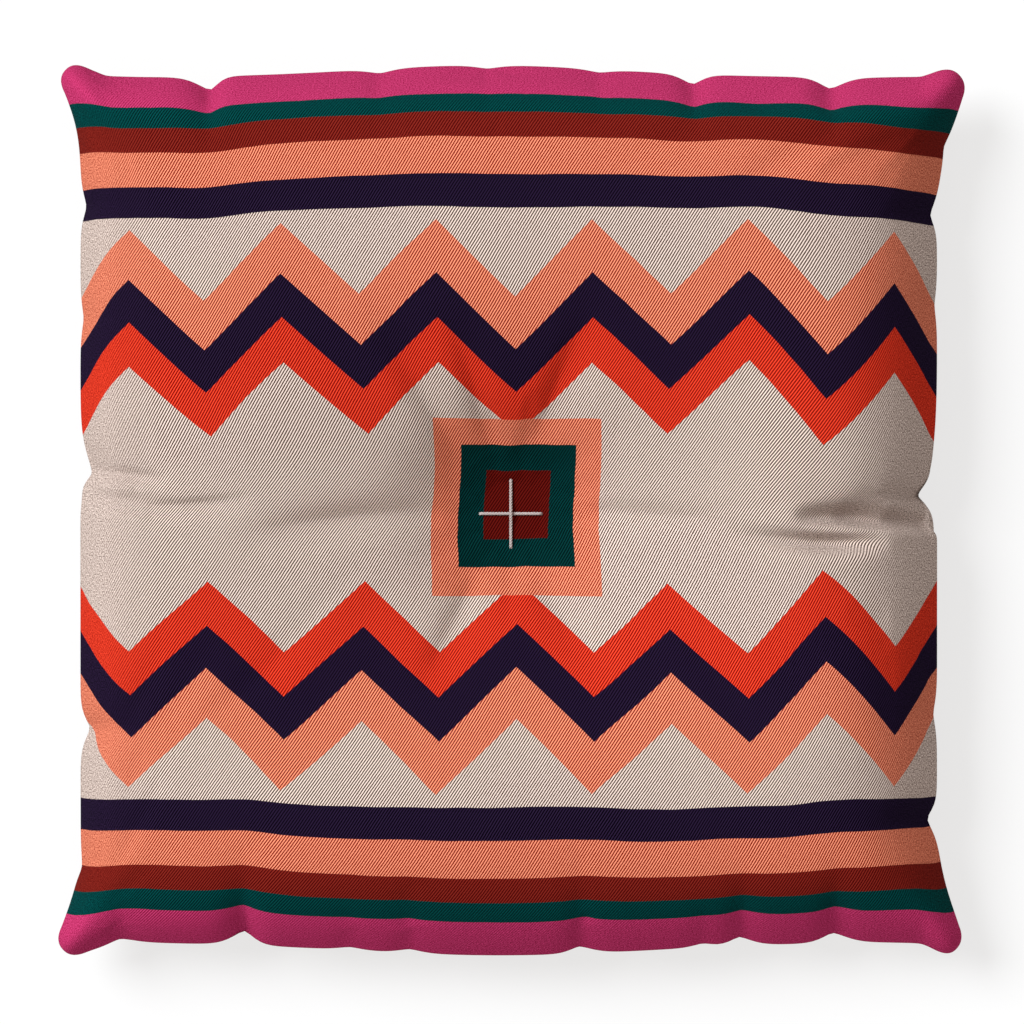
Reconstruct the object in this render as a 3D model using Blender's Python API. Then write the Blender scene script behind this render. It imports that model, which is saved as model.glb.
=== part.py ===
"""A square floor pillow that lies on its back, drawn in at its middle by a cross stitch.

Metres, +Z up. The origin is on the floor under the middle of the pillow. +X is its right, +Y its far side.
"""

from collections import namedtuple
from math import cos, pi, radians, sin

import bmesh
import bpy
import numpy as np

# Driving dimensions of the filled cover
HALF_WIDTH = 0.3020
HALF_DEPTH = 0.3050
SEAM_HEIGHT = 0.064
CROWN_RISE = 0.076
CORNER_DROOP = 0.014
CORNER_DROOP_POWER = 4

# The face rises from each seam at a slope, up to a shoulder at its reach that turns over its ease
CORNER_FILL = 1.5
Shoulder = namedtuple("Shoulder", "slope reach ease")
SHOULDERS = {
    "left": Shoulder(1.90, 0.0160, 0.0045),
    "right": Shoulder(1.90, 0.0420, 0.0180),
    "far": Shoulder(1.90, 0.0260, 0.0045),
    "near": Shoulder(2.35, 0.0190, 0.0140),
}

# The back comes down from the seam: a higher roundness keeps it flatter, a lower lift makes its rim steeper
BACK_ROUNDNESS = 3.6
BACK_LIFT = 0.60
BACK_FLAT_FROM = 0.60
BACK_EASE = 1.6

# The far and near sides bow out a little over the middle
Bow = namedtuple("Bow", "side middle out width")
BOWS = (
    Bow(1, -0.016, 0.0083, 0.125),
    Bow(-1, -0.006, 0.0092, 0.150),
)

# Each corner is rounded and drawn out past the side seams into an ear, kept plump by the folded seam inside
CORNER_RADIUS = 0.022
EAR_INWARD = 0.060
EAR_PLUMP = 0.007
EAR_PLUMP_REACH = 0.050

Ear = namedtuple("Ear", "across along out_x length_x out_y length_y")
EARS = (
    Ear(-1, 1, 0.0175, 0.034, 0.0125, 0.026),
    Ear(1, 1, 0.0225, 0.050, 0.0090, 0.025),
    Ear(-1, -1, 0.0192, 0.038, 0.0125, 0.028),
    Ear(1, -1, 0.0205, 0.044, 0.0120, 0.023),
)

# The stitch draws the whole face down into a wide dish
DISH_Y = -0.030
DISH_DEPTH = 0.046
DISH_ACROSS = 0.200
DISH_ALONG = 0.130

# The tuft in the dish: a level floor that the stitch holds, and the slope around it
TUFT_X = 0.0014
TUFT_Y = -0.0028
TUFT_DEPTH = 0.024
TUFT_FLOOR_RADIUS = 0.024
TUFT_SLOPE_RADIUS = 0.042

# The cross stitch is two runs of thick thread, one over the other
THREAD_RADIUS = 0.00115
THREAD_CLEARANCE = 0.0003
ACROSS_LENGTH = 0.046
UPRIGHT_LENGTH = 0.051
THREAD_SIDES = 10
THREAD_STEPS = 20
CROSSING_HALF_WIDTH = 0.0055

# The grid that carries both faces, with its lines closer together at the seams and in the middle
LINES_EACH_WAY = 65
LINE_CROWDING = 0.45
SHORTEST = 1e-12
LEAST_SHARE = 1e-6

# Colours are linear
TWILL_COLOUR = (0.58, 0.46, 0.40)
TWILL_ROUGHNESS = 0.9
THREAD_COLOUR = (0.80, 0.76, 0.73)
THREAD_ROUGHNESS = 0.7

# A pucker gathers the seam: low and high are its widths towards smaller and larger X or Y
PUCKER_SHARPNESS = 1.5
Pucker = namedtuple("Pucker", "side place depth low high reach")
PUCKERS = (
    Pucker("far", -0.284, 0.0015, 0.008, 0.010, 0.022),
    Pucker("far", -0.211, 0.0095, 0.013, 0.008, 0.040),
    Pucker("far", -0.091, 0.0030, 0.012, 0.012, 0.029),
    Pucker("far", -0.015, 0.0022, 0.012, 0.012, 0.022),
    Pucker("far", 0.064, 0.0022, 0.012, 0.012, 0.025),
    Pucker("far", 0.130, 0.0070, 0.011, 0.009, 0.032),
    Pucker("far", 0.227, 0.0080, 0.011, 0.013, 0.036),
    Pucker("far", 0.291, 0.0015, 0.010, 0.008, 0.022),
    Pucker("near", -0.274, 0.0040, 0.010, 0.014, 0.025),
    Pucker("near", -0.187, 0.0100, 0.012, 0.010, 0.043),
    Pucker("near", -0.112, 0.0022, 0.012, 0.012, 0.025),
    Pucker("near", -0.070, 0.0028, 0.012, 0.012, 0.036),
    Pucker("near", 0.050, 0.0050, 0.010, 0.013, 0.040),
    Pucker("near", 0.137, 0.0028, 0.010, 0.010, 0.025),
    Pucker("near", 0.163, 0.0062, 0.010, 0.012, 0.040),
    Pucker("near", 0.229, 0.0072, 0.011, 0.014, 0.043),
    Pucker("near", 0.291, 0.0015, 0.010, 0.008, 0.022),
    Pucker("left", 0.214, 0.0040, 0.011, 0.012, 0.032),
    Pucker("left", 0.135, 0.0022, 0.012, 0.012, 0.025),
    Pucker("left", 0.026, 0.0080, 0.008, 0.020, 0.043),
    Pucker("left", -0.154, 0.0066, 0.011, 0.010, 0.036),
    Pucker("left", -0.252, 0.0025, 0.008, 0.014, 0.025),
    Pucker("right", 0.256, 0.0020, 0.009, 0.009, 0.025),
    Pucker("right", 0.208, 0.0050, 0.010, 0.012, 0.032),
    Pucker("right", 0.144, 0.0018, 0.012, 0.012, 0.025),
    Pucker("right", 0.030, 0.0035, 0.016, 0.030, 0.036),
    Pucker("right", 0.010, 0.0125, 0.009, 0.011, 0.047),
    Pucker("right", -0.144, 0.0026, 0.012, 0.012, 0.025),
    Pucker("right", -0.218, 0.0070, 0.012, 0.009, 0.036),
)

# A crease is a trough on the crowned face, with a width and a keenness on the left and right of its heading.
# A keenness of 2 is a round side, and towards 1 it is cut in more sharply. The widths hold at the crease's
# end, and at its start they are times the flare. A peak over 1 moves its deepest place on towards its end.
CREASE_STEPS = 24
Crease = namedtuple("Crease", "start bend end depth left right keen_left keen_right flare peak")
CREASES = (
    Crease((0.200, -0.005), (0.238, -0.005), (0.290, -0.006), 0.0200, 0.0125, 0.0160, 2.0, 2.0, 0.4, 0.9),
    Crease((0.236, -0.003), (0.272, -0.007), (0.310, -0.010), 0.0100, 0.0110, 0.0050, 2.0, 2.0, 1.0, 1.0),
    Crease((0.146, -0.014), (0.222, -0.030), (0.275, -0.017), 0.0145, 0.0065, 0.0070, 2.0, 2.0, 1.0, 1.4),
    Crease((0.170, -0.012), (0.110, -0.002), (0.046, 0.000), 0.0050, 0.0120, 0.0080, 2.0, 1.6, 0.8, 1.5),
    Crease((-0.302, 0.004), (-0.250, 0.003), (-0.180, 0.010), 0.0050, 0.0045, 0.0120, 1.3, 2.0, 3.0, 1.5),
    Crease((-0.300, 0.027), (-0.275, 0.026), (-0.245, 0.027), 0.0035, 0.0040, 0.0060, 1.4, 1.6, 1.0, 1.5),
    Crease((-0.196, -0.021), (-0.140, -0.003), (-0.046, -0.001), 0.0080, 0.0090, 0.0180, 1.5, 2.0, 0.8, 1.5),
    Crease((-0.185, 0.195), (-0.135, 0.145), (-0.075, 0.085), 0.0030, 0.0220, 0.0220, 2.0, 2.0, 1.2, 1.5),
    Crease((-0.104, 0.150), (-0.072, 0.100), (-0.030, 0.030), 0.0085, 0.0140, 0.0080, 2.0, 1.5, 1.5, 1.5),
    Crease((-0.046, 0.148), (-0.028, 0.104), (-0.012, 0.040), 0.0070, 0.0130, 0.0070, 2.0, 1.5, 1.5, 1.5),
    Crease((0.062, 0.152), (0.040, 0.106), (0.018, 0.046), 0.0070, 0.0160, 0.0065, 2.0, 1.5, 1.5, 1.5),
    Crease((-0.064, -0.136), (-0.046, -0.092), (-0.022, -0.046), 0.0065, 0.0070, 0.0140, 1.5, 2.0, 1.5, 1.5),
    Crease((0.078, -0.126), (0.048, -0.088), (0.022, -0.046), 0.0060, 0.0120, 0.0120, 2.0, 2.0, 1.6, 1.5),
)


def grid_lines(half, places):
    """Positions of the grid lines, closer at the seams and in the middle, with one on each pucker."""
    even = np.linspace(-1, 1, LINES_EACH_WAY)
    lines = half * (even - LINE_CROWDING * np.sin(2 * pi * even) / (2 * pi))
    for place in sorted(places):
        nearest = 1 + int(np.argmin(np.abs(lines[1:-1] - place)))
        lines[nearest] = place
    return lines


def from_seams(s, t):
    """How far each point is from the nearer side seam and from the nearer far or near seam."""
    return HALF_WIDTH * (1 - np.abs(s)), HALF_DEPTH * (1 - np.abs(t))


def shoulder_rise(shoulder, inward):
    """Height over one seam at a distance inward from it, up to the shoulder and level past it."""
    turned = np.logaddexp(0, (shoulder.reach - inward) / shoulder.ease)
    return shoulder.slope * shoulder.ease * (np.logaddexp(0, shoulder.reach / shoulder.ease) - turned)


def face_rise(s, t):
    """Height of the filled face over the seam: each side's shoulder, then a gentle crown to the middle."""
    from_side, from_end = from_seams(s, t)
    spans = (
        ("left", "right", s, from_side, HALF_WIDTH),
        ("near", "far", t, from_end, HALF_DEPTH),
    )
    inverse = -1.0
    for low_side, high_side, place, inward, half in spans:
        gentle = 1 - (1 - inward / half) ** 2
        heights = []
        for side in (low_side, high_side):
            shoulder = SHOULDERS[side]
            left_over = CROWN_RISE - shoulder_rise(shoulder, half)
            heights.append(shoulder_rise(shoulder, inward) + left_over * gentle)
        share = np.where(place > 0, heights[1], heights[0]) / CROWN_RISE
        inverse = inverse + np.maximum(share, LEAST_SHARE) ** -CORNER_FILL
    return CROWN_RISE * inverse ** (-1 / CORNER_FILL)


def back_share(s, t):
    """How far the back has come down to the floor: 0 on the seam and 1 where it lies flat."""
    across = np.clip(1 - np.abs(s) ** BACK_ROUNDNESS, 0, 1)
    along = np.clip(1 - np.abs(t) ** BACK_ROUNDNESS, 0, 1)
    return np.clip((across * along) ** BACK_LIFT / BACK_FLAT_FROM, 0, 1)


def plan(s, t):
    """Where each point of the cloth lies seen from above: bowed sides, and ears at the corners."""
    from_side, from_end = from_seams(s, t)
    round_x = np.clip(1 - from_side / CORNER_RADIUS, 0, 1)
    round_y = np.clip(1 - from_end / CORNER_RADIUS, 0, 1)
    trim_x = CORNER_RADIUS * round_x * (1 - np.sqrt(1 - round_y**2 / 2))
    trim_y = CORNER_RADIUS * round_y * (1 - np.sqrt(1 - round_x**2 / 2))
    x = s * HALF_WIDTH - np.sign(s) * trim_x
    y = t * HALF_DEPTH - np.sign(t) * trim_y
    for bow in BOWS:
        bulge = bow.out * np.exp(-(((x - bow.middle) / bow.width) ** 2))
        y = y + bow.side * bulge * np.clip(t * bow.side, 0, 1)
    for ear in EARS:
        near = (s * ear.across > 0) & (t * ear.along > 0)
        out_x = ear.out_x * np.exp(-((from_end / ear.length_x) ** 2) - (from_side / EAR_INWARD) ** 2)
        out_y = ear.out_y * np.exp(-((from_side / ear.length_y) ** 2) - (from_end / EAR_INWARD) ** 2)
        x = x + near * ear.across * out_x
        y = y + near * ear.along * out_y
    return x, y


def ear_plumpness(s, t):
    """Extra height at the corner ears, none on the seam."""
    from_side, from_end = from_seams(s, t)
    rise = (1 - np.exp(-from_side / EAR_PLUMP)) * (1 - np.exp(-from_end / EAR_PLUMP))
    return EAR_PLUMP * rise * np.exp(-(from_side + from_end) / EAR_PLUMP_REACH)


def seam_level(s, t):
    """Height of the seam above the floor, a little lower at the corners."""
    return SEAM_HEIGHT - CORNER_DROOP * (s * t) ** CORNER_DROOP_POWER


def pucker_depth(s, t):
    """How far the gathered seam pulls the cloth in, at each point."""
    x, y = plan(s, t)
    sides = {
        "far": (x, HALF_DEPTH * (1 - t)),
        "near": (x, HALF_DEPTH * (1 + t)),
        "left": (y, HALF_WIDTH * (1 + s)),
        "right": (y, HALF_WIDTH * (1 - s)),
    }
    depth = np.zeros_like(x)
    for pucker in PUCKERS:
        along, inward = sides[pucker.side]
        offset = along - pucker.place
        width = np.where(offset > 0, pucker.high, pucker.low)
        fold = np.exp(-np.abs(offset / width) ** PUCKER_SHARPNESS)
        depth += pucker.depth * fold * np.exp(-((inward / pucker.reach) ** 2))
    return depth


def crease_depth(x, y):
    """How far the creases lie below the crowned face."""
    depth = np.zeros_like(x)
    for crease in CREASES:
        line = bezier(crease)
        away = np.full_like(x, np.inf)
        share = np.zeros_like(x)
        on_left = np.zeros_like(x, bool)
        for step, (here, there) in enumerate(zip(line[:-1], line[1:])):
            heading = there - here
            right, beyond = x - here[0], y - here[1]
            passed = np.clip((right * heading[0] + beyond * heading[1]) / (heading @ heading), 0, 1)
            gap = np.hypot(right - passed * heading[0], beyond - passed * heading[1])
            closer = gap < away
            away = np.where(closer, gap, away)
            share = np.where(closer, (step + passed) / CREASE_STEPS, share)
            on_left = np.where(closer, heading[0] * beyond > heading[1] * right, on_left)
        flare = crease.flare + (1 - crease.flare) * share
        across = away / (np.where(on_left, crease.left, crease.right) * flare)
        keen = np.where(on_left, crease.keen_left, crease.keen_right)
        depth += crease.depth * np.exp(-(across**keen)) * np.sin(pi * share**crease.peak)
    from_stitch = np.hypot(x - TUFT_X, y - TUFT_Y)
    return depth * (1 - np.exp(-((from_stitch / TUFT_FLOOR_RADIUS) ** 4)))


def bezier(crease):
    """Points along the curve that a crease follows."""
    start, bend, end = (np.array(place) for place in (crease.start, crease.bend, crease.end))
    along = np.linspace(0, 1, CREASE_STEPS + 1)[:, None]
    return (1 - along) ** 2 * start + 2 * along * (1 - along) * bend + along**2 * end


def dish_depth(x, y):
    """How far the wide dish lies below the crowned face."""
    return DISH_DEPTH * np.exp(-((x / DISH_ACROSS) ** 2) - ((y - DISH_Y) / DISH_ALONG) ** 2)


def tuft_floor():
    """How far the level floor under the stitch lies below the crowned face."""
    return TUFT_DEPTH + dish_depth(TUFT_X, TUFT_Y)


def tuft_depth(x, y):
    """How far the cross stitch draws the crowned face down: the dish, and the tuft in it."""
    away = np.hypot(x - TUFT_X, y - TUFT_Y)
    share = np.exp(-((np.clip(away - TUFT_FLOOR_RADIUS, 0, None) / TUFT_SLOPE_RADIUS) ** 2))
    dish = dish_depth(x, y)
    return dish + share * (tuft_floor() - dish)


def unit(vectors):
    """The same vectors at a length of one."""
    return vectors / np.maximum(np.linalg.norm(vectors, axis=2, keepdims=True), SHORTEST)


def outward(points, flip):
    """Unit normals of a grid of points."""
    across = np.gradient(points, axis=0)
    along = np.gradient(points, axis=1)
    return unit(np.cross(across, along) * (-1 if flip else 1))


def face_points(s, t):
    """The crowned face: its rise, the tuft, the creases and the puckers."""
    x, y = plan(s, t)
    points = np.dstack((x, y, seam_level(s, t) + face_rise(s, t) + ear_plumpness(s, t)))
    normal = outward(points, flip=False)
    points[..., 2] -= tuft_depth(x, y) * (1 - s**4) * (1 - t**4)
    on_seam = (np.abs(s) == 1) | (np.abs(t) == 1)
    normal[on_seam, 2] = 0
    normal = unit(normal)
    pulled = crease_depth(x, y) + pucker_depth(s, t)
    return points - normal * pulled[..., None]


def back_points(s, t, face):
    """The back, which shares the seam and lies flat on the floor over its middle."""
    x, y = plan(s, t)
    share = back_share(s, t)
    points = np.dstack((x, y, seam_level(s, t) * (1 - share) ** BACK_EASE - ear_plumpness(s, t)))
    pull = pucker_depth(s, t) * (1 - share)
    points -= outward(points, flip=True) * pull[..., None]
    points[..., 2] = np.where(share >= 1, 0, np.maximum(points[..., 2], 0))
    on_seam = (np.abs(s) == 1) | (np.abs(t) == 1)
    points[on_seam] = face[on_seam]
    return points


def make_material(name, colour, roughness):
    """A Principled material with one colour."""
    material = bpy.data.materials.new(name)
    material.use_nodes = True
    shader = material.node_tree.nodes["Principled BSDF"]
    shader.inputs["Base Color"].default_value = (*colour, 1)
    shader.inputs["Roughness"].default_value = roughness
    shader.inputs["Metallic"].default_value = 0
    return material


def make_object(name, mesh, material, parent):
    """An object of its own material, under the pillow's empty."""
    mesh.materials.append(material)
    piece = bpy.data.objects.new(name, mesh)
    piece.parent = parent
    bpy.context.scene.collection.objects.link(piece)
    return piece


def pillow_mesh():
    """Both faces on one grid, joined along the seam into one closed body."""
    columns = grid_lines(HALF_WIDTH, {p.place for p in PUCKERS if p.side in ("far", "near")})
    rows = grid_lines(HALF_DEPTH, {p.place for p in PUCKERS if p.side in ("left", "right")})
    s, t = np.meshgrid(columns / HALF_WIDTH, rows / HALF_DEPTH, indexing="ij")
    face = face_points(s, t)
    back = back_points(s, t, face)
    count = LINES_EACH_WAY
    edge = (0, count - 1)

    body = bmesh.new()
    upper = [[body.verts.new(face[i, j]) for j in range(count)] for i in range(count)]
    lower = [
        [upper[i][j] if i in edge or j in edge else body.verts.new(back[i, j]) for j in range(count)]
        for i in range(count)
    ]
    resting = []
    for i in range(count - 1):
        for j in range(count - 1):
            corners = ((i, j), (i + 1, j), (i + 1, j + 1), (i, j + 1))
            body.faces.new([upper[a][b] for a, b in corners])
            under = body.faces.new([lower[a][b] for a, b in reversed(corners)])
            if all(back[a, b, 2] == 0 for a, b in corners):
                resting.append(under)
    bmesh.ops.dissolve_faces(body, faces=resting, use_verts=True)
    mesh = bpy.data.meshes.new("floor_pillow")
    body.to_mesh(mesh)
    body.free()
    mesh.shade_smooth()
    return mesh


def thread_mesh(name, length, heading, hump):
    """One run of thread with rounded ends, lifted by the hump where it passes over the other."""
    forward = np.array((cos(heading), sin(heading), 0))
    sideways = np.array((-sin(heading), cos(heading), 0))
    angles = [2 * pi * side / THREAD_SIDES for side in range(THREAD_SIDES)]
    body = bmesh.new()
    rings = []
    for step in range(THREAD_STEPS + 1):
        turn = pi * step / THREAD_STEPS
        place = -cos(turn) * length / 2
        inset = max(abs(place) - (length / 2 - THREAD_RADIUS), 0)
        radius = max(THREAD_RADIUS**2 - inset**2, 0) ** 0.5
        lift = hump * np.exp(-((place / CROSSING_HALF_WIDTH) ** 2))
        centre = forward * place + np.array((0, 0, THREAD_RADIUS + THREAD_CLEARANCE + lift))
        if step in (0, THREAD_STEPS):
            rings.append([body.verts.new(centre)])
            continue
        spokes = [sideways * cos(a) + np.array((0, 0, sin(a))) for a in angles]
        rings.append([body.verts.new(centre + radius * spoke) for spoke in spokes])
    for first, second in zip(rings, rings[1:]):
        for side in range(THREAD_SIDES):
            after = (side + 1) % THREAD_SIDES
            if len(first) == 1:
                body.faces.new((first[0], second[side], second[after]))
            elif len(second) == 1:
                body.faces.new((second[0], first[after], first[side]))
            else:
                body.faces.new((first[side], second[side], second[after], first[after]))
    bmesh.ops.recalc_face_normals(body, faces=body.faces)
    mesh = bpy.data.meshes.new(name)
    body.to_mesh(mesh)
    body.free()
    mesh.shade_smooth()
    return mesh


def main():
    """Builds the pillow and its cross stitch."""
    for piece in list(bpy.data.objects):
        bpy.data.objects.remove(piece)
    middle = bpy.data.objects.new("floor_pillow_middle", None)
    bpy.context.scene.collection.objects.link(middle)

    twill = make_material("cotton_twill", TWILL_COLOUR, TWILL_ROUGHNESS)
    thread = make_material("white_thread", THREAD_COLOUR, THREAD_ROUGHNESS)
    pillow = make_object("floor_pillow", pillow_mesh(), twill, middle)
    corners = np.array([vertex.co for vertex in pillow.data.vertices])
    box_middle = (corners.min(axis=0) + corners.max(axis=0)) / 2
    middle.location = (-box_middle[0], -box_middle[1], 0)

    floor_height = SEAM_HEIGHT + CROWN_RISE - tuft_floor()
    across = thread_mesh("stitch_across", ACROSS_LENGTH, 0, 0)
    crossing = 2 * THREAD_RADIUS + THREAD_CLEARANCE
    upright = thread_mesh("stitch_upright", UPRIGHT_LENGTH, radians(90), crossing)
    for name, mesh in (("stitch_across", across), ("stitch_upright", upright)):
        run = make_object(name, mesh, thread, middle)
        run.location = (TUFT_X, TUFT_Y, floor_height)


main()
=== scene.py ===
"""The looks of a square floor pillow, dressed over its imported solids.

Metres, +Z up. The pillow lies on its back, and the camera looks straight down on its face.
"""

import logging
from dataclasses import dataclass
from enum import Enum
from math import cos, pi, radians, sin, tau

import bpy
import numpy as np
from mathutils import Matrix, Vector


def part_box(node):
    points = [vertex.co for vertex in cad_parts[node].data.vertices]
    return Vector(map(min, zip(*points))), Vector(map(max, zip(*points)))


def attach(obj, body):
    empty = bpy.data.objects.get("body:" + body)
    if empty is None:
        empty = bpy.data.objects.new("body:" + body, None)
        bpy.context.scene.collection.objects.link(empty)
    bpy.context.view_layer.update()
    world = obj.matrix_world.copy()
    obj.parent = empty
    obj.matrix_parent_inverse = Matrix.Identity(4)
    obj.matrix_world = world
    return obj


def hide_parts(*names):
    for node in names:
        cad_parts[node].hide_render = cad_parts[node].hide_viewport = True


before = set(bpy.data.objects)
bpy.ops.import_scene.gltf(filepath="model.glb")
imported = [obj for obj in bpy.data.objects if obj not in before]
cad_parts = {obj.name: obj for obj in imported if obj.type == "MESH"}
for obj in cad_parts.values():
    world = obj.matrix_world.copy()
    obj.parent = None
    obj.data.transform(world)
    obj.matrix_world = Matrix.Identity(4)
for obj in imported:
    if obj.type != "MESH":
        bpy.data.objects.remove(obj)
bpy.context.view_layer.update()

BODY = "root"
SHORTEST = 1e-12
log = logging.getLogger("floor_pillow")

Socket = bpy.types.NodeSocket
Colour = tuple[float, float, float]
Value = Socket | float | Colour


class Side(Enum):
    """The sides of the pillow as seen from above."""

    FAR = "far"
    NEAR = "near"
    LEFT = "left"
    RIGHT = "right"

    @property
    def sign(self) -> int:
        """The sign of X or Y on its side of the middle."""
        return 1 if self in (Side.FAR, Side.RIGHT) else -1


class Dye(Enum):
    """The print's colours, linear: on a rib of the twill, and in the gap beside it."""

    BEIGE = ((0.735, 0.600, 0.535), (0.048, 0.026, 0.018))
    PEACH = ((0.800, 0.262, 0.155), (0.165, 0.006, 0.001))
    RED_ORANGE = ((0.715, 0.050, 0.022), (0.170, 0.0005, 0.0002))
    INDIGO = ((0.020, 0.010, 0.034), (0.0002, 0.0001, 0.001))
    # Painted shade: the green of the stitch's square, darker than TEAL to stand for the shade in the pit at
    # the stitch.
    GREEN = ((0.001, 0.034, 0.033), (0.0002, 0.004, 0.004))
    TEAL = ((0.001, 0.058, 0.056), (0.0002, 0.008, 0.008))
    MAROON = ((0.196, 0.017, 0.011), (0.057, 0.001, 0.001))
    # Painted shade: the maroon of the stitch's square, darker than MAROON to stand for the shade in the pit
    # at the stitch.
    WINE = ((0.105, 0.006, 0.004), (0.030, 0.0006, 0.0005))
    MAGENTA = ((0.560, 0.049, 0.172), (0.176, 0.001, 0.024))

    @property
    def rib(self) -> Colour:
        """The colour on a rib."""
        return self.value[0]

    @property
    def gap(self) -> Colour:
        """The colour in a gap."""
        return self.value[1]


@dataclass(frozen=True)
class Bow:
    """A gentle bulge of the far or the near side over its middle."""

    side: Side
    middle: float
    out: float
    width: float


@dataclass(frozen=True)
class Ear:
    """A corner drawn out past the seams, by out_x over length_x and by out_y over length_y."""

    across: Side
    along: Side
    out_x: float
    length_x: float
    out_y: float
    length_y: float


@dataclass(frozen=True)
class Pucker:
    """A gather in the seam. Its low and high widths are towards smaller and larger X or Y."""

    side: Side
    place: float
    depth: float
    low: float
    high: float
    reach: float


@dataclass(frozen=True)
class Crease:
    """A trough along a bent line, with a width and a keenness on the left and right of its heading.

    The widths hold at its end; at its start they are times the flare. A keenness of 2 is a round trough,
    and towards 1 that side is cut in more sharply. With a peak of 1 it is deepest at its middle, and a
    higher peak moves that on towards its end.
    """

    start: tuple[float, float]
    bend: tuple[float, float]
    end: tuple[float, float]
    depth: float
    left: float
    right: float
    keen_left: float
    keen_right: float
    flare: float
    peak: float


@dataclass(frozen=True)
class Shoulder:
    """How the face rises from one seam: at a slope, up to a shoulder that turns over its ease."""

    slope: float
    reach: float
    ease: float

    def rise(self, inward: np.ndarray) -> np.ndarray:
        """Height over the seam at a distance inward from it."""
        turned = np.logaddexp(0, (self.reach - inward) / self.ease)
        return self.slope * self.ease * (np.logaddexp(0, self.reach / self.ease) - turned)


SHOULDERS = {
    Side.LEFT: Shoulder(1.90, 0.016, 0.0045),
    Side.RIGHT: Shoulder(1.90, 0.042, 0.0180),
    Side.FAR: Shoulder(1.90, 0.026, 0.0045),
    Side.NEAR: Shoulder(2.35, 0.0190, 0.0140),
}

BOWS = (
    Bow(Side.FAR, -0.016, 0.0083, 0.125),
    Bow(Side.NEAR, -0.006, 0.0092, 0.150),
)

EARS = (
    Ear(Side.LEFT, Side.FAR, 0.0175, 0.034, 0.0125, 0.026),
    Ear(Side.RIGHT, Side.FAR, 0.0225, 0.050, 0.0090, 0.025),
    Ear(Side.LEFT, Side.NEAR, 0.0192, 0.038, 0.0125, 0.028),
    Ear(Side.RIGHT, Side.NEAR, 0.0205, 0.044, 0.0120, 0.023),
)

PUCKERS = (
    Pucker(Side.FAR, -0.284, 0.0015, 0.008, 0.010, 0.022),
    Pucker(Side.FAR, -0.211, 0.0095, 0.013, 0.008, 0.040),
    Pucker(Side.FAR, -0.091, 0.0030, 0.012, 0.012, 0.029),
    Pucker(Side.FAR, -0.015, 0.0022, 0.012, 0.012, 0.022),
    Pucker(Side.FAR, 0.064, 0.0022, 0.012, 0.012, 0.025),
    Pucker(Side.FAR, 0.130, 0.0070, 0.011, 0.009, 0.032),
    Pucker(Side.FAR, 0.227, 0.0080, 0.011, 0.013, 0.036),
    Pucker(Side.FAR, 0.291, 0.0015, 0.010, 0.008, 0.022),
    Pucker(Side.NEAR, -0.274, 0.0040, 0.010, 0.014, 0.025),
    Pucker(Side.NEAR, -0.187, 0.0100, 0.012, 0.010, 0.043),
    Pucker(Side.NEAR, -0.112, 0.0022, 0.012, 0.012, 0.025),
    Pucker(Side.NEAR, -0.070, 0.0028, 0.012, 0.012, 0.036),
    Pucker(Side.NEAR, 0.050, 0.0050, 0.010, 0.013, 0.040),
    Pucker(Side.NEAR, 0.137, 0.0028, 0.010, 0.010, 0.025),
    Pucker(Side.NEAR, 0.163, 0.0062, 0.010, 0.012, 0.040),
    Pucker(Side.NEAR, 0.229, 0.0072, 0.011, 0.014, 0.043),
    Pucker(Side.NEAR, 0.291, 0.0015, 0.010, 0.008, 0.022),
    Pucker(Side.LEFT, 0.214, 0.0040, 0.011, 0.012, 0.032),
    Pucker(Side.LEFT, 0.135, 0.0022, 0.012, 0.012, 0.025),
    Pucker(Side.LEFT, 0.026, 0.0080, 0.008, 0.020, 0.043),
    Pucker(Side.LEFT, -0.154, 0.0066, 0.011, 0.010, 0.036),
    Pucker(Side.LEFT, -0.252, 0.0025, 0.008, 0.014, 0.025),
    Pucker(Side.RIGHT, 0.256, 0.0020, 0.009, 0.009, 0.025),
    Pucker(Side.RIGHT, 0.208, 0.0050, 0.010, 0.012, 0.032),
    Pucker(Side.RIGHT, 0.144, 0.0018, 0.012, 0.012, 0.025),
    Pucker(Side.RIGHT, 0.030, 0.0035, 0.016, 0.030, 0.036),
    Pucker(Side.RIGHT, 0.010, 0.0125, 0.009, 0.011, 0.047),
    Pucker(Side.RIGHT, -0.144, 0.0026, 0.012, 0.012, 0.025),
    Pucker(Side.RIGHT, -0.218, 0.0070, 0.012, 0.009, 0.036),
)

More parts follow.
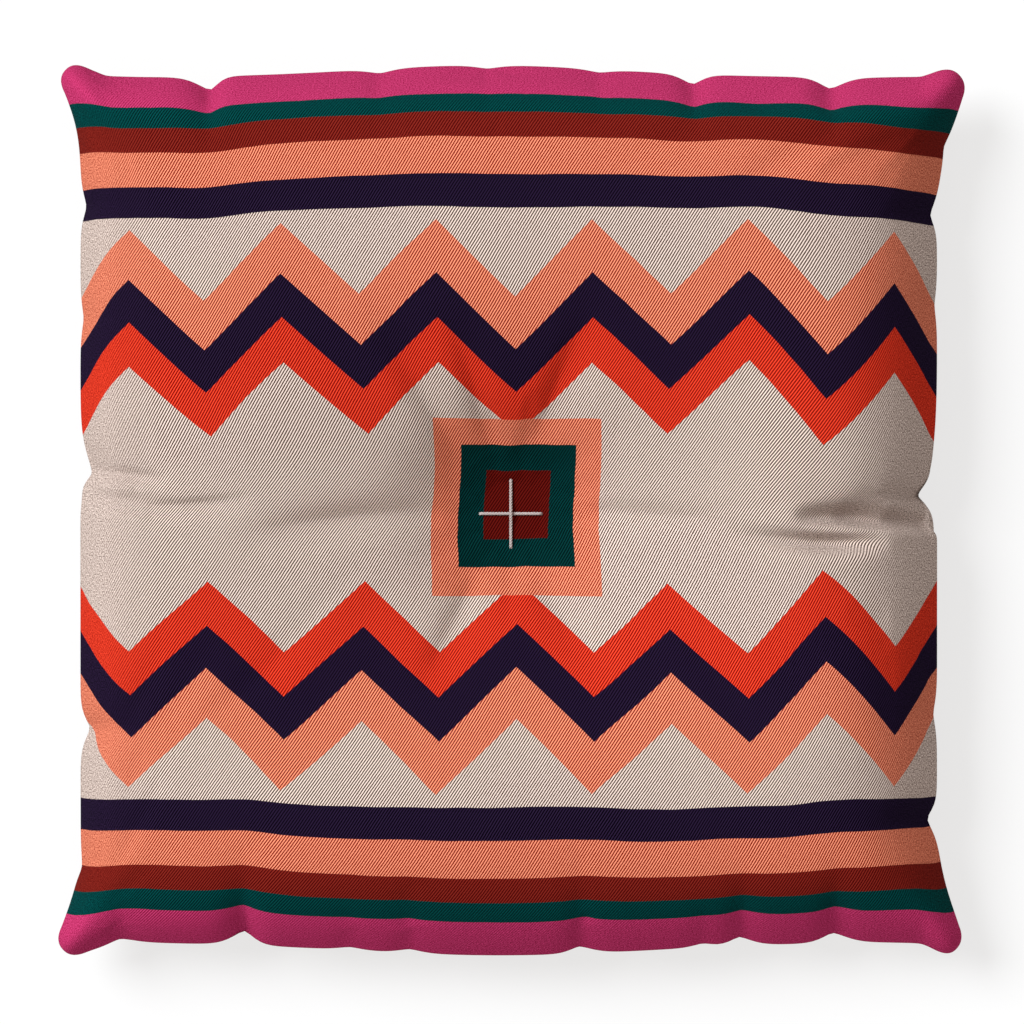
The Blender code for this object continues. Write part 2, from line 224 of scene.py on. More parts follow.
CREASES = (
    Crease((0.200, -0.005), (0.236, -0.005), (0.272, -0.006), 0.0175, 0.0118, 0.0080, 2.0, 2.0, 0.6, 0.9),
    Crease((0.230, -0.004), (0.268, -0.008), (0.313, -0.011), 0.0155, 0.0095, 0.0050, 2.0, 2.0, 1.0, 1.1),
    Crease((0.146, -0.014), (0.214, -0.027), (0.266, -0.0215), 0.0148, 0.0062, 0.0065, 2.0, 2.0, 1.0, 1.5),
    Crease((0.170, -0.012), (0.110, -0.002), (0.046, 0.000), 0.0050, 0.0120, 0.0080, 2.0, 1.6, 0.8, 1.5),
    Crease((-0.262, 0.003), (-0.225, 0.003), (-0.180, 0.009), 0.0048, 0.0030, 0.0100, 1.5, 2.0, 1.0, 1.0),
    Crease((-0.304, 0.011), (-0.280, 0.006), (-0.232, 0.004), 0.0050, 0.0065, 0.0090, 2.0, 2.0, 1.0, 1.0),
    Crease((-0.300, 0.0260), (-0.268, 0.0265), (-0.238, 0.0195), 0.0045, 0.0038, 0.0060, 1.6, 1.6, 1.0, 1.2),
    Crease((-0.196, -0.021), (-0.140, -0.003), (-0.046, -0.001), 0.0080, 0.0090, 0.0180, 1.5, 2.0, 0.8, 1.5),
    Crease((-0.185, 0.195), (-0.135, 0.145), (-0.075, 0.085), 0.0030, 0.0220, 0.0220, 2.0, 2.0, 1.2, 1.5),
    Crease((-0.104, 0.150), (-0.072, 0.100), (-0.030, 0.030), 0.0085, 0.0140, 0.0080, 2.0, 1.5, 1.5, 1.5),
    Crease((-0.046, 0.148), (-0.028, 0.104), (-0.012, 0.040), 0.0070, 0.0130, 0.0070, 2.0, 1.5, 1.5, 1.5),
    Crease((0.062, 0.152), (0.040, 0.106), (0.018, 0.046), 0.0070, 0.0160, 0.0065, 2.0, 1.5, 1.5, 1.5),
    Crease((-0.064, -0.136), (-0.046, -0.092), (-0.022, -0.046), 0.0065, 0.0070, 0.0140, 1.5, 2.0, 1.5, 1.5),
    Crease((0.078, -0.126), (0.048, -0.088), (0.022, -0.046), 0.0060, 0.0120, 0.0120, 2.0, 2.0, 1.6, 1.5),
)


@dataclass(frozen=True)
class CoverForm:
    """The filled cover's form over a square of panel places s and t, each -1 to 1 from seam to seam."""

    half_width: float = 0.3020
    half_depth: float = 0.3050
    seam_height: float = 0.064
    crown_rise: float = 0.076
    least_share: float = 1e-6
    corner_droop: float = 0.014
    droop_power: int = 4
    corner_fill: float = 1.5
    back_roundness: float = 3.6
    back_lift: float = 0.60
    back_flat_from: float = 0.60
    back_ease: float = 1.6
    corner_radius: float = 0.022
    ear_inward: float = 0.060
    ear_plump: float = 0.007
    ear_plump_reach: float = 0.050
    tuft: tuple[float, float] = (0.0014, -0.0028)
    tuft_depth: float = 0.024
    tuft_floor_radius: float = 0.024
    tuft_slope_radius: float = 0.042
    tuft_keep_power: int = 4
    dish: tuple[float, float] = (0.0, -0.030)
    dish_depth: float = 0.046
    dish_across: float = 0.200
    dish_along: float = 0.130
    rim_hold_power: int = 4
    pucker_sharpness: float = 1.5
    crease_steps: int = 24

    def from_seams(self, s: np.ndarray, t: np.ndarray) -> tuple[np.ndarray, np.ndarray]:
        """How far each place is from the nearer side seam and from the nearer far or near seam."""
        return self.half_width * (1 - np.abs(s)), self.half_depth * (1 - np.abs(t))

    def plan(self, s: np.ndarray, t: np.ndarray) -> tuple[np.ndarray, np.ndarray]:
        """Where the cloth lies seen from above: rounded corners, bowed sides and ears.

        Args:
            s: Places across the panel.
            t: Places along the panel.

        Returns:
            The X and Y of each place.
        """
        from_side, from_end = self.from_seams(s, t)
        round_x = np.clip(1 - from_side / self.corner_radius, 0, 1)
        round_y = np.clip(1 - from_end / self.corner_radius, 0, 1)
        trim_x = self.corner_radius * round_x * (1 - np.sqrt(1 - round_y**2 / 2))
        trim_y = self.corner_radius * round_y * (1 - np.sqrt(1 - round_x**2 / 2))
        x = s * self.half_width - np.sign(s) * trim_x
        y = t * self.half_depth - np.sign(t) * trim_y
        for bow in BOWS:
            bulge = bow.out * np.exp(-(((x - bow.middle) / bow.width) ** 2))
            y = y + bow.side.sign * bulge * np.clip(t * bow.side.sign, 0, 1)
        for ear in EARS:
            near = (s * ear.across.sign > 0) & (t * ear.along.sign > 0)
            fade_x = np.exp(-((from_end / ear.length_x) ** 2) - (from_side / self.ear_inward) ** 2)
            fade_y = np.exp(-((from_side / ear.length_y) ** 2) - (from_end / self.ear_inward) ** 2)
            x = x + near * ear.across.sign * ear.out_x * fade_x
            y = y + near * ear.along.sign * ear.out_y * fade_y
        return x, y

    def face_rise(self, s: np.ndarray, t: np.ndarray) -> np.ndarray:
        """Height of the filled face over the seam.

        Args:
            s: Places across the panel.
            t: Places along the panel.

        Returns:
            The height at each place: each side's shoulder, then a gentle crown to the middle.
        """
        from_side, from_end = self.from_seams(s, t)
        inverse = -1.0
        for low_side, high_side, place, inward, half in (
            (Side.LEFT, Side.RIGHT, s, from_side, self.half_width),
            (Side.NEAR, Side.FAR, t, from_end, self.half_depth),
        ):
            gentle = 1 - (1 - inward / half) ** 2
            heights = []
            for side in (low_side, high_side):
                shoulder = SHOULDERS[side]
                left_over = self.crown_rise - shoulder.rise(half)
                heights.append(shoulder.rise(inward) + left_over * gentle)
            share = np.where(place > 0, heights[1], heights[0]) / self.crown_rise
            inverse = inverse + np.maximum(share, self.least_share) ** -self.corner_fill
        return self.crown_rise * inverse ** (-1 / self.corner_fill)

    def back_share(self, s: np.ndarray, t: np.ndarray) -> np.ndarray:
        """How far the back has come down to the floor.

        Args:
            s: Places across the panel.
            t: Places along the panel.

        Returns:
            A share at each place: 0 on the seam and 1 where the back lies flat.
        """
        across = np.clip(1 - np.abs(s) ** self.back_roundness, 0, 1)
        along = np.clip(1 - np.abs(t) ** self.back_roundness, 0, 1)
        return np.clip((across * along) ** self.back_lift / self.back_flat_from, 0, 1)

    def plumpness(self, s: np.ndarray, t: np.ndarray) -> np.ndarray:
        """Extra height that the folded seam inside gives an ear.

        Args:
            s: Places across the panel.
            t: Places along the panel.

        Returns:
            The height at each place, none on the seam.
        """
        from_side, from_end = self.from_seams(s, t)
        rise = (1 - np.exp(-from_side / self.ear_plump)) * (1 - np.exp(-from_end / self.ear_plump))
        return self.ear_plump * rise * np.exp(-(from_side + from_end) / self.ear_plump_reach)

    def seam_level(self, s: np.ndarray, t: np.ndarray) -> np.ndarray:
        """Height of the seam above the floor, a little lower at the corners."""
        return self.seam_height - self.corner_droop * (s * t) ** self.droop_power

    def pucker_depth(self, s: np.ndarray, t: np.ndarray) -> np.ndarray:
        """How far the gathered seams pull the cloth in.

        Args:
            s: Places across the panel.
            t: Places along the panel.

        Returns:
            The pull at each place, in metres.
        """
        x, y = self.plan(s, t)
        sides = {
            Side.FAR: (x, self.half_depth * (1 - t)),
            Side.NEAR: (x, self.half_depth * (1 + t)),
            Side.LEFT: (y, self.half_width * (1 + s)),
            Side.RIGHT: (y, self.half_width * (1 - s)),
        }
        depth = np.zeros_like(x)
        for pucker in PUCKERS:
            along, inward = sides[pucker.side]
            offset = along - pucker.place
            width = np.where(offset > 0, pucker.high, pucker.low)
            fold = np.exp(-np.abs(offset / width) ** self.pucker_sharpness)
            depth += pucker.depth * fold * np.exp(-((inward / pucker.reach) ** 2))
        return depth

    def crease_depth(self, x: np.ndarray, y: np.ndarray) -> np.ndarray:
        """How far the creases lie below the crowned face.

        Args:
            x: Places to the right.
            y: Places away from the near side.

        Returns:
            The depth at each place, in metres.
        """
        depth = np.zeros_like(x)
        for crease in CREASES:
            start, bend, end = (np.array(place) for place in (crease.start, crease.bend, crease.end))
            along = np.linspace(0, 1, self.crease_steps + 1)[:, None]
            line = (1 - along) ** 2 * start + 2 * along * (1 - along) * bend + along**2 * end
            away = np.full_like(x, np.inf)
            share = np.zeros_like(x)
            on_left = np.zeros_like(x, bool)
            for step, (here, there) in enumerate(zip(line[:-1], line[1:])):
                heading = there - here
                right, beyond = x - here[0], y - here[1]
                passed = np.clip((right * heading[0] + beyond * heading[1]) / (heading @ heading), 0, 1)
                gap = np.hypot(right - passed * heading[0], beyond - passed * heading[1])
                closer = gap < away
                away = np.where(closer, gap, away)
                share = np.where(closer, (step + passed) / self.crease_steps, share)
                on_left = np.where(closer, heading[0] * beyond > heading[1] * right, on_left)
            flare = crease.flare + (1 - crease.flare) * share
            across = away / (np.where(on_left, crease.left, crease.right) * flare)
            keen = np.where(on_left, crease.keen_left, crease.keen_right)
            depth += crease.depth * np.exp(-(across**keen)) * np.sin(pi * share**crease.peak)
        from_stitch = np.hypot(x - self.tuft[0], y - self.tuft[1]) / self.tuft_floor_radius
        return depth * (1 - np.exp(-(from_stitch**self.tuft_keep_power)))

    def dish_drop(self, x: np.ndarray, y: np.ndarray) -> np.ndarray:
        """How far the middle of the crowned face is dished.

        Args:
            x: Places to the right.
            y: Places away from the near side.

        Returns:
            The drop at each place, in metres.
        """
        across = (x - self.dish[0]) / self.dish_across
        along = (y - self.dish[1]) / self.dish_along
        return self.dish_depth * np.exp(-(across**2) - along**2)

    def tuft_drop(self, x: np.ndarray, y: np.ndarray) -> np.ndarray:
        """How far the cross stitch draws the crowned face down.

        Args:
            x: Places to the right.
            y: Places away from the near side.

        Returns:
            The drop at each place: the dish, and in it a steeper pit with a level floor for the stitch.
        """
        from_floor = np.hypot(x - self.tuft[0], y - self.tuft[1]) - self.tuft_floor_radius
        share = np.exp(-((np.clip(from_floor, 0, None) / self.tuft_slope_radius) ** 2))
        dish = self.dish_drop(x, y)
        floor = self.tuft_depth + self.dish_drop(*self.tuft)
        return dish + share * (floor - dish)

    def face(self, s: np.ndarray, t: np.ndarray, creased: bool = True) -> np.ndarray:
        """Points of the crowned face.

        Args:
            s: Places across the panel.
            t: Places along the panel.
            creased: Whether the creases are in it.

        Returns:
            A grid of points.
        """
        x, y = self.plan(s, t)
        level = self.seam_level(s, t) + self.face_rise(s, t) + self.plumpness(s, t)
        points = np.dstack((x, y, level))
        normal = outward(points)
        inside = (1 - s**self.rim_hold_power) * (1 - t**self.rim_hold_power)
        points[..., 2] -= self.tuft_drop(x, y) * inside
        normal[on_seam(s, t), 2] = 0
        normal = unit(normal)
        pulled = self.pucker_depth(s, t)
        if creased:
            pulled = pulled + self.crease_depth(x, y)
        return points - normal * pulled[..., None]

    def back(self, s: np.ndarray, t: np.ndarray) -> np.ndarray:
        """Points of the back, which lies flat on the floor over its middle.

        Args:
            s: Places across the panel.
            t: Places along the panel.

        Returns:
            A grid of points, which leaves the seam to the face.
        """
        x, y = self.plan(s, t)
        share = self.back_share(s, t)
        level = self.seam_level(s, t) * (1 - share) ** self.back_ease - self.plumpness(s, t)
        points = np.dstack((x, y, level))
        pull = self.pucker_depth(s, t) * (1 - share)
        points += outward(points) * pull[..., None]
        points[..., 2] = np.where(share >= 1, 0, np.maximum(points[..., 2], 0))
        return points


def on_seam(s: np.ndarray, t: np.ndarray) -> np.ndarray:
    """True for each panel place that lies on a seam."""
    return (np.abs(s) == 1) | (np.abs(t) == 1)


def unit(vectors: np.ndarray) -> np.ndarray:
    """The same vectors at a length of one."""
    return vectors / np.maximum(np.linalg.norm(vectors, axis=2, keepdims=True), SHORTEST)


def outward(points: np.ndarray) -> np.ndarray:
    """Unit normals of a grid of points, on the upper side."""
    return unit(np.cross(np.gradient(points, axis=0), np.gradient(points, axis=1)))


def refine(grid: np.ndarray) -> np.ndarray:
    """Doubles the lines of a grid of vectors each way, along cubic curves through four neighbours.

    Args:
        grid: Vectors on a square grid.

    Returns:
        Vectors on the doubled grid, which passes through the given ones.
    """
    for axis in (0, 1):
        lines = np.moveaxis(grid, axis, 0)
        first = 2 * lines[0] - lines[1]
        last = 2 * lines[-1] - lines[-2]
        padded = np.concatenate((first[None], lines, last[None]))
        between = (9 * (padded[1:-2] + padded[2:-1]) - padded[:-3] - padded[3:]) / 16
        doubled = np.empty((2 * len(lines) - 1, *lines.shape[1:]))
        doubled[::2] = lines
        doubled[1::2] = between
        grid = np.moveaxis(doubled, 0, axis)
    return grid


@dataclass(frozen=True)
class ClothSettling:
    """Settles the cover under its filling's pressure with a cloth simulation."""

    pressure: float = 4.0
    frames: int = 20
    steps: int = 6
    vertex_mass: float = 0.02
    stiffness: float = 60.0
    shear_stiffness: float = 20.0
    bending: float = 2.0
    ease: float = 1.015
    cap: float = 0.006

    def settle(self, cover: bpy.types.Object, held: np.ndarray) -> np.ndarray:
        """Runs the simulation and gives back how far each point of the cover moves.

        Args:
            cover: The cover before it settles.
            held: True for each point that the stitch, the seam or the floor holds.

        Returns:
            One movement for each point, no longer than the cap.
        """
        start = points_of(cover)
        cover.shape_key_add(name="as made")
        slack = cover.shape_key_add(name="slack cloth")
        slack.data.foreach_set("co", (start * self.ease).astype(np.float32).ravel())
        group = cover.vertex_groups.new(name="held")
        group.add([int(i) for i in np.flatnonzero(held)], 1.0, "REPLACE")
        cloth = cover.modifiers.new("settling", "CLOTH")
        settings = cloth.settings
        settings.quality = self.steps
        settings.mass = self.vertex_mass
        settings.tension_stiffness = self.stiffness
        settings.compression_stiffness = self.stiffness
        settings.shear_stiffness = self.shear_stiffness
        settings.bending_stiffness = self.bending
        settings.use_pressure = True
        settings.uniform_pressure_force = self.pressure
        settings.effector_weights.gravity = 0
        settings.vertex_group_mass = group.name
        settings.rest_shape_key = slack
        cloth.collision_settings.use_collision = False
        cloth.point_cache.frame_start = 1
        cloth.point_cache.frame_end = self.frames
        scene = bpy.context.scene
        for step in range(1, self.frames + 1):
            scene.frame_set(step)
        settled = points_of(cover.evaluated_get(bpy.context.evaluated_depsgraph_get()))
        scene.frame_set(1)
        moved = settled - start
        length = np.linalg.norm(moved, axis=1, keepdims=True)
        capped = moved / (1 + length / self.cap)
        millimetres = 1000 * np.linalg.norm(capped, axis=1)
        log.info("cloth settles by %.1f mm, at most %.1f mm", millimetres.mean(), millimetres.max())
        return capped


def cell_corners(grid: np.ndarray, face_down: bool) -> np.ndarray:
    """Lists the four corners of each cell of a grid, in the order of a mesh face.

    Args:
        grid: A value or a vector at each crossing of the grid's lines.
        face_down: Whether the faces look down.

    Returns:
        What the grid holds at the corners, four to a cell.
    """
    corners = [grid[:-1, :-1], grid[1:, :-1], grid[1:, 1:], grid[:-1, 1:]]
    if face_down:
        corners = [corners[0], *reversed(corners[1:])]
    return np.stack(corners, axis=2)


def add_object(name: str, data: bpy.types.ID) -> bpy.types.Object:
    """Adds a mesh, a light or a camera to the scene.

    Args:
        name: The object's name.
        data: The mesh, light or camera.

    Returns:
        The object.
    """
    added = bpy.data.objects.new(name, data)
    bpy.context.scene.collection.objects.link(added)
    return added


def points_of(piece: bpy.types.Object) -> np.ndarray:
    """Reads the points of a mesh object.

    Args:
        piece: The object.

    Returns:
        Its points, one row each.
    """
    flat = np.empty(3 * len(piece.data.vertices), np.float32)
    piece.data.vertices.foreach_get("co", flat)
    return flat.reshape(-1, 3).astype(float)


@dataclass(frozen=True)
class FilledCover:
    """The printed front panel and the plain back panel, sewn together and filled."""

    form: CoverForm
    settling: ClothSettling
    lines: int = 221
    crowding: float = 0.45
    panel_map: str = "Panel"
    even_over: float = 0.090
    soften_over: float = 0.023

    def line_places(self) -> np.ndarray:
        """Panel places of the grid lines, closer together at the seams and the middle."""
        even = np.linspace(-1, 1, self.lines)
        return even - self.crowding * np.sin(tau * even) / tau

    def places(self, step: int = 1) -> tuple[np.ndarray, np.ndarray]:
        """The grid's panel places, on every line or every few."""
        line = self.line_places()[::step]
        return np.meshgrid(line, line, indexing="ij")

    def sew(self, name: str, face: np.ndarray, back: np.ndarray) -> bpy.types.Object:
        """Joins the two panels' grids along the seam into one closed mesh.

        Args:
            name: The object's name.
            face: Points of the face.
            back: Points of the back, whose rim isn't used.

        Returns:
            The object, face first, with the back's faces in the second material slot.
        """
        count = len(face)
        upper = np.arange(count * count).reshape(count, count)
        lower = upper.copy()
        inner = (count - 2) ** 2
        lower[1:-1, 1:-1] = count * count + np.arange(inner).reshape(count - 2, count - 2)
        points = np.concatenate((face.reshape(-1, 3), back[1:-1, 1:-1].reshape(-1, 3)))
        up = cell_corners(upper, face_down=False).reshape(-1, 4)
        down = cell_corners(lower, face_down=True).reshape(-1, 4)
        quads = np.concatenate((up, down))
        mesh = bpy.data.meshes.new(name)
        mesh.from_pydata(points.tolist(), [], quads.tolist())
        mesh.shade_smooth()
        on_back = np.repeat((0, 1), (count - 1) ** 2)
        mesh.polygons.foreach_set("material_index", on_back.astype(np.int32))
        return add_object(name, mesh)

    def evening(self, spread: float) -> np.ndarray:
        """Weights that even a value out over neighbouring grid lines.

        Args:
            spread: How far over the panel it is evened out.

        Returns:
            A row of weights for each grid line.
        """
        line = self.line_places()
        weight = np.exp(-(((line[:, None] - line[None, :]) / spread) ** 2))
        return weight / weight.sum(axis=1, keepdims=True)

    def flatten(self, grid: np.ndarray) -> np.ndarray:
        """Measures a panel by its own length of cloth, both ways.

        Neighbouring threads of a cloth can't slip far past each other, so the lengths are evened out
        over the lines beside them.

        Args:
            grid: Points of the panel.

        Returns:
            Each point's place on the flat panel, 0 to 1 from seam to seam.
        """
        across_lines = self.evening(self.even_over)
        along_line = self.evening(self.soften_over)
        shares = []
        for axis, place in enumerate(self.places()):
            lengths = np.linalg.norm(np.diff(grid, axis=axis), axis=2)
            total = np.insert(np.cumsum(lengths, axis=axis), 0, 0, axis=axis)
            slip = total / np.take(total, [-1], axis=axis) - place / 2
            if axis == 0:
                slip = along_line @ slip @ across_lines.T
            else:
                slip = across_lines @ slip @ along_line.T
            shares.append(slip + place / 2)
        return np.stack(shares, axis=-1)

    def lay_map(self, piece: bpy.types.Object, face: np.ndarray, back: np.ndarray) -> None:
        """Maps each panel by its own length of cloth, so that print and twill follow its form.

        Args:
            piece: The sewn cover.
            face: Points of the face.
            back: Points of the back, rim and all.
        """
        up = cell_corners(self.flatten(face), face_down=False).reshape(-1, 2)
        down = cell_corners(self.flatten(back), face_down=True).reshape(-1, 2)
        layer = piece.data.uv_layers.new(name=self.panel_map)
        layer.data.foreach_set("uv", np.concatenate((up, down)).astype(np.float32).ravel())

    def build(self) -> bpy.types.Object:
        """Makes the cover: its form, the settled cloth and the maps.

        Returns:
            The finished mesh, with no material yet.
        """
        low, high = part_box("floor_pillow")
        s, t = self.places()
        face = self.form.face(s, t)
        back = self.form.back(s, t)
        moved_face, moved_back = self.settled()
        face = face + moved_face
        back = back + moved_back
        back[..., 2] = np.maximum(back[..., 2], 0)
        rim = on_seam(s, t)
        back[rim] = face[rim]
        shift = np.zeros(3)
        for axis in (0, 1):
            plan = face[..., axis]
            shift[axis] = (low[axis] + high[axis] - plan.min() - plan.max()) / 2
        face = face + shift
        back = back + shift
        piece = self.sew("pillow_cover", face, back)
        self.lay_map(piece, face, back)
        return piece

    def settled(self) -> tuple[np.ndarray, np.ndarray]:
        """Settles a coarser copy of the cover, with no creases in it.

        Returns:
            How far the cloth moves over the fine grid of the face, and of the back.
        """
        s, t = self.places(2)
        face = self.form.face(s, t, creased=False)
        back = self.form.back(s, t)
        trial = self.sew("cover_as_made", face, back)
        x, y = self.form.plan(s, t)
        at_stitch = np.hypot(x - self.form.tuft[0], y - self.form.tuft[1]) < self.form.tuft_floor_radius
        on_floor = back[1:-1, 1:-1, 2] <= 0
        held = np.concatenate(((at_stitch | on_seam(s, t)).ravel(), on_floor.ravel()))
        moved = self.settling.settle(trial, held)
        bpy.data.objects.remove(trial)
        count = len(face)
        moved_face = moved[: count * count].reshape(count, count, 3)
        moved_back = moved_face.copy()
        moved_back[1:-1, 1:-1] = moved[count * count :].reshape(count - 2, count - 2, 3)
        return refine(moved_face), refine(moved_back)

    def dress(self, cover: bpy.types.Object, front: bpy.types.Material, back: bpy.types.Material) -> None:
        """Gives the cover its cloth and its place in the part.

        Args:
            cover: The finished cover.
            front: The cloth of its face.
            back: The cloth of its back.
        """
        cover.data.materials.append(front)
        cover.data.materials.append(back)
        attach(cover, BODY)
        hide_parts("floor_pillow")


@dataclass(frozen=True)
class TwistedThread:
    """One run of the cross stitch: strands twisted together, its ends drawn down into the cloth."""

    name: str
    node: str
    along: tuple[float, float]
    hump: float
    strands: int = 3
    strand_radius: float = 0.00060
    twist_radius: float = 0.00056
    twist_pitch: float = 0.0062
    steps: int = 150
    sides: int = 10
    dive: float = 0.0035
    dive_length: float = 0.0030
    crossing_half_width: float = 0.0055

    def spiral(self, places: np.ndarray, turn: np.ndarray, half: float) -> np.ndarray:
        """The line that the middle of one strand follows, about the run's own middle.

        Args:
            places: Metres along the run.
            turn: How far the strand has turned about the run at each place.
            half: Half the run's length.

        Returns:
            One row for each place: along the run, to its left and up.
        """
        into = np.clip((np.abs(places) - (half - self.dive_length)) / self.dive_length, 0, 1)
        lift = self.hump * np.exp(-((places / self.crossing_half_width) ** 2)) - self.dive * into**2
        sideways = self.twist_radius * np.cos(turn)
        upward = self.twist_radius * np.sin(turn)
        return np.stack((places, sideways, lift + upward), axis=1)

    def faces(self, first: int) -> list[tuple[int, ...]]:
        """The faces of one strand: rings joined along it, and an end cap at either end.

        Args:
            first: The number of the strand's first point.

        Returns:
            Each face's point numbers.
        """
        quads = []
        for step in range(self.steps - 1):
            here = first + step * self.sides
            there = here + self.sides
            for side in range(self.sides):
                after = (side + 1) % self.sides
                quads.append((here + side, there + side, there + after, here + after))
        last = first + (self.steps - 1) * self.sides
        quads.append(tuple(first + side for side in range(self.sides)))
        quads.append(tuple(last + side for side in reversed(range(self.sides))))
        return quads

    def build(self) -> bpy.types.Object:
        """Makes the run over its solid.

        Returns:
            The run's mesh object, with no material yet.
        """
        low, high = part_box(self.node)
        forward = np.array((*self.along, 0.0))
        sideways = np.array((-self.along[1], self.along[0], 0.0))
        upward = np.array((0.0, 0.0, 1.0))
        half = abs(sum((high[i] - low[i]) * self.along[i] for i in range(2))) / 2
        level = low[2] + self.twist_radius + self.strand_radius
        middle = np.array(((low[0] + high[0]) / 2, (low[1] + high[1]) / 2, level))
        places = np.linspace(-half, half, self.steps)
        ring = []
        for side in range(self.sides):
            angle = tau * side / self.sides
            ring.append(self.strand_radius * (cos(angle) * sideways + sin(angle) * upward))
        points = []
        quads = []
        for strand in range(self.strands):
            turn = tau * (places / self.twist_pitch + strand / self.strands)
            line = middle + self.spiral(places, turn, half) @ np.array((forward, sideways, upward))
            quads += self.faces(len(points))
            points += [tuple(centre + spoke) for centre in line for spoke in ring]
        mesh = bpy.data.meshes.new(self.name)
        mesh.from_pydata(points, [], quads)
        mesh.shade_smooth()
        return add_object(self.name, mesh)

    def dress(self, piece: bpy.types.Object, thread: bpy.types.Material) -> None:
        """Gives the run its thread and its place in the part.

        Args:
            piece: The finished run.
            thread: What it is made of.
        """
        piece.data.materials.append(thread)
        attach(piece, BODY)
        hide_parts(self.node)


class Mixed(Enum):
    """What a Mix node mixes: its own name for that, and the numbers of two inputs and an output."""

    NUMBERS = ("FLOAT", 2, 3, 0)
    COLOURS = ("RGBA", 6, 7, 2)


class NodeSheet:
    """Writes one material's nodes, a step at a time."""

    def __init__(self, name: str) -> None:
        """Starts a material with a bare Principled shader.

        Args:
            name: The material's name.
        """
        self.material = bpy.data.materials.new(name)
        self.material.use_nodes = True
        self.tree = self.material.node_tree
        self.shader = self.tree.nodes["Principled BSDF"]

    def feed(self, socket: Socket, value: Value) -> None:
        """Links a socket, or sets it to a plain number or colour.

        Args:
            socket: The input to feed.
            value: Another node's output, a number or a colour.
        """
        if isinstance(value, Socket):
            self.tree.links.new(value, socket)
        elif isinstance(value, tuple) and len(socket.default_value) == 4:
            socket.default_value = (*value, 1)
        else:
            socket.default_value = value

    def math(self, operation: str, first: Value, second: Value = 0.0) -> Socket:
        """One step of arithmetic.

        Args:
            operation: The Math node's own name for the step.
            first: What it works on.
            second: What it works with, where the step takes two.

        Returns:
            The result.
        """
        node = self.tree.nodes.new("ShaderNodeMath")
        node.operation = operation
        self.feed(node.inputs[0], first)
        self.feed(node.inputs[1], second)
        return node.outputs[0]

    def mix(self, kind: Mixed, share: Value, first: Value, second: Value) -> Socket:
        """Turns one colour or number into another.

        Args:
            kind: Which of the two it mixes.
            share: 0 for the first, 1 for the second.
            first: The first colour or number.
            second: The second colour or number.

        Returns:
            The colour or number between them.
        """
        data_type, first_input, second_input, output = kind.value
        node = self.tree.nodes.new("ShaderNodeMix")
        node.data_type = data_type
        self.feed(node.inputs["Factor"], share)
        self.feed(node.inputs[first_input], first)
        self.feed(node.inputs[second_input], second)
        return node.outputs[output]

    def above(self, value: Value, edge: float, blur: float) -> Socket:
        """Tells where a value is above an edge.

        Args:
            value: The value.
            edge: The edge.
            blur: Half the width of the soft step at the edge.

        Returns:
            1 above the edge and 0 below it.
        """
        node = self.tree.nodes.new("ShaderNodeMapRange")
        self.feed(node.inputs["Value"], value)
        node.inputs["From Min"].default_value = edge - blur
        node.inputs["From Max"].default_value = edge + blur
        return node.outputs["Result"]

    def noise(self, place: Socket, scale: float, detail: float = 2.0) -> Socket:
        """Smooth noise around one half.

        Args:
            place: Where it is read.
            scale: How fine it is.
            detail: How many finer layers it has.

        Returns:
            The noise.
        """
        node = self.tree.nodes.new("ShaderNodeTexNoise")
        self.feed(node.inputs["Vector"], place)
        node.inputs["Scale"].default_value = scale
        node.inputs["Detail"].default_value = detail
        return node.outputs["Fac"]

    def bump(self, height: Socket, distance: float, strength: float) -> None:
        """Turns a height into relief.

        Args:
            height: The height, 0 to 1.
            distance: The relief's depth in metres.
            strength: How much of it shows.
        """
        node = self.tree.nodes.new("ShaderNodeBump")
        node.inputs["Distance"].default_value = distance
        node.inputs["Strength"].default_value = strength
        self.feed(node.inputs["Height"], height)
        self.feed(self.shader.inputs["Normal"], node.outputs["Normal"])


